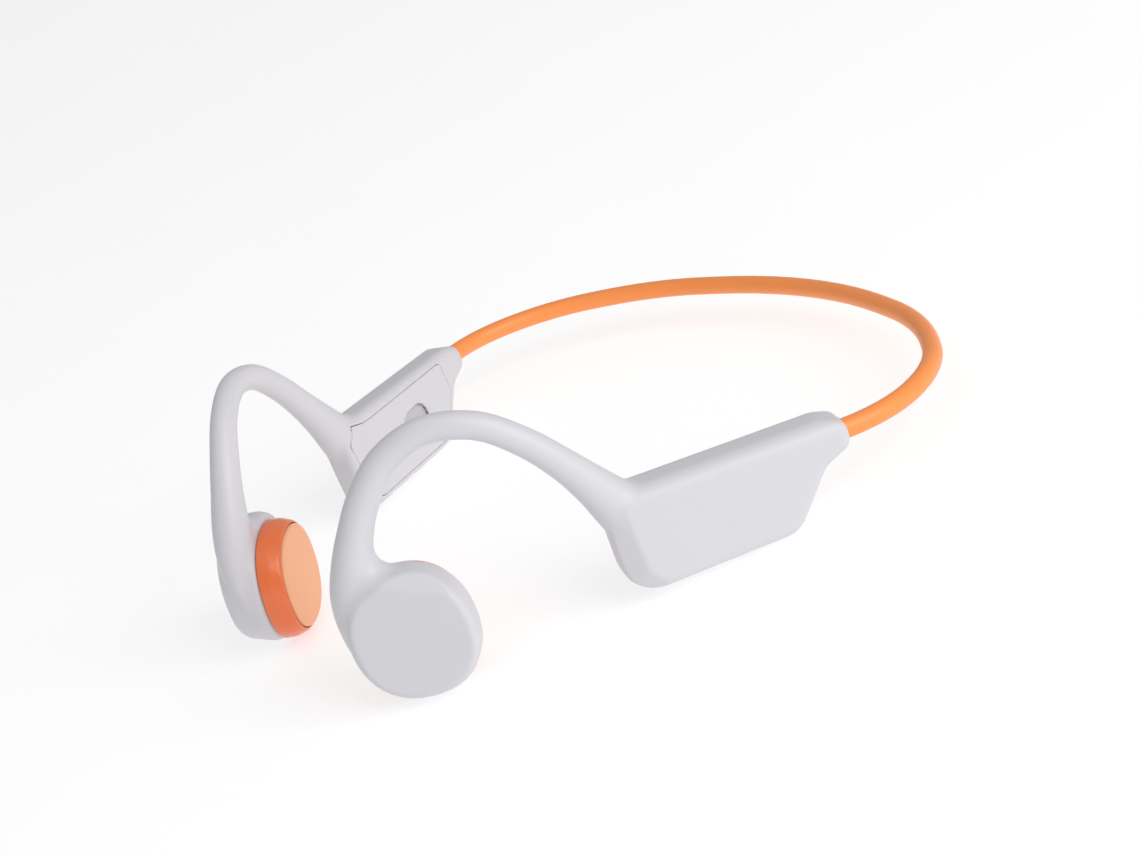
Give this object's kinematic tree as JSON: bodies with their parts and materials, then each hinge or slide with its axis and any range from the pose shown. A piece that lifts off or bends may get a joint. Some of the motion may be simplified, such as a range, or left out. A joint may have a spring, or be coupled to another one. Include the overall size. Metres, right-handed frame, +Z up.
{
  "type": "bone conduction headphones",
  "caption": "Open-ear bone conduction headphones: two transducers on ear hooks, slim electronics pods and a flexible orange neckband.",
  "frame": {"origin": "middle of the footprint on the table that the transducers and pods rest on", "axes": "+X towards the wearer's left, +Y towards the back of the neck, +Z up; symmetric about X = 0 outside"},
  "size_m": [0.1436, 0.1464, 0.0512],
  "materials": {
    "shell": "satin moulded plastic, light lilac grey",
    "shell_cover": "satin moulded plastic, light lilac grey",
    "seal_rubber": "dark elastomer seal",
    "bezel": "satin deep orange plastic",
    "pad_silicone": "flat matte peach silicone",
    "band_silicone": "satin orange silicone",
    "gland_rubber": "matte grey elastomer",
    "plate_plastic": "dark moulded plastic",
    "copper_coil": "enamelled copper winding",
    "spring_steel": "rolled spring steel",
    "yoke_steel": "plated steel",
    "magnet": "nickel plated magnet",
    "spring_wire": "memory metal wire",
    "lead_jacket": "black wire insulation",
    "circuit_board": "green solder mask",
    "shield_steel": "tinned sheet steel",
    "switch_body": "black switch bodies",
    "socket_plastic": "black moulded insert",
    "gold_pins": "gold plated contacts",
    "clear_plastic": "frosted clear light pipe",
    "key_plastic": "satin moulded plastic",
    "battery_pouch": "laminated pouch cell",
    "foam": "dark foam"
  },
  "bodies": {
    "right_side": {"right_frame": "shell", "right_inner_cover": "shell_cover", "right_cover_seal": "seal_rubber", "right_bezel": "bezel", "right_spring_plate": "spring_steel", "right_yoke": "yoke_steel", "right_driver_magnet": "magnet", "right_pole_plate": "yoke_steel", "right_hook_wire": "spring_wire", "right_driver_leads": "lead_jacket", "right_gland": "gland_rubber", "neckband_sleeve": "band_silicone", "neckband_wire": "spring_wire", "neckband_leads": "lead_jacket", "main_board": "circuit_board", "shield_can": "shield_steel", "key_board": "circuit_board", "tactile_switches": "switch_body", "charge_socket": "socket_plastic", "charge_pins": "gold_pins", "charge_magnets": "magnet", "light_pipe": "clear_plastic", "microphone": "shield_steel"},
    "left_side": {"left_frame": "shell", "left_inner_cover": "shell_cover", "left_cover_seal": "seal_rubber", "left_bezel": "bezel", "left_spring_plate": "spring_steel", "left_yoke": "yoke_steel", "left_driver_magnet": "magnet", "left_pole_plate": "yoke_steel", "left_hook_wire": "spring_wire", "left_driver_leads": "lead_jacket", "left_gland": "gland_rubber", "battery": "battery_pouch", "battery_foam": "foam", "protection_board": "circuit_board"},
    "left_driver": {"left_contact_pad": "pad_silicone", "left_vibration_plate": "plate_plastic", "left_voice_coil": "copper_coil"},
    "right_driver": {"right_contact_pad": "pad_silicone", "right_vibration_plate": "plate_plastic", "right_voice_coil": "copper_coil"},
    "volume_down": {"volume_down_key": "key_plastic"},
    "power": {"power_key": "key_plastic"},
    "volume_up": {"volume_up_key": "key_plastic"}
  },
  "joints": [
    {"name": "band_flex", "type": "hinge", "parent": "right_side", "child": "left_side", "pos_m": [0, 0.07123, 0.00852], "axis": [0, 0, 1], "range_deg": [-10, 30], "stiffness_Nm_per_rad": 0.3, "deforming": ["neckband_sleeve", "neckband_wire", "neckband_leads"]},
    {"name": "left_pad_slide", "type": "slide", "parent": "left_side", "child": "left_driver", "axis": [-0.7079, 0.6957, -0.1219], "range_m": [-0.00015, 0.00015], "stiffness_N_per_m": 2500},
    {"name": "right_pad_slide", "type": "slide", "parent": "right_side", "child": "right_driver", "axis": [0.7079, 0.6957, -0.1219], "range_m": [-0.00015, 0.00015], "stiffness_N_per_m": 2500},
    {"name": "volume_down_press", "type": "slide", "parent": "right_side", "child": "volume_down", "axis": [-0.0311, 0.0748, 0.9967], "range_m": [0, 0.0004], "stiffness_N_per_m": 2500},
    {"name": "power_press", "type": "slide", "parent": "right_side", "child": "power", "axis": [-0.0311, 0.0748, 0.9967], "range_m": [0, 0.0004], "stiffness_N_per_m": 2500},
    {"name": "volume_up_press", "type": "slide", "parent": "right_side", "child": "volume_up", "axis": [-0.0311, 0.0748, 0.9967], "range_m": [0, 0.0004], "stiffness_N_per_m": 2500}
  ]
}
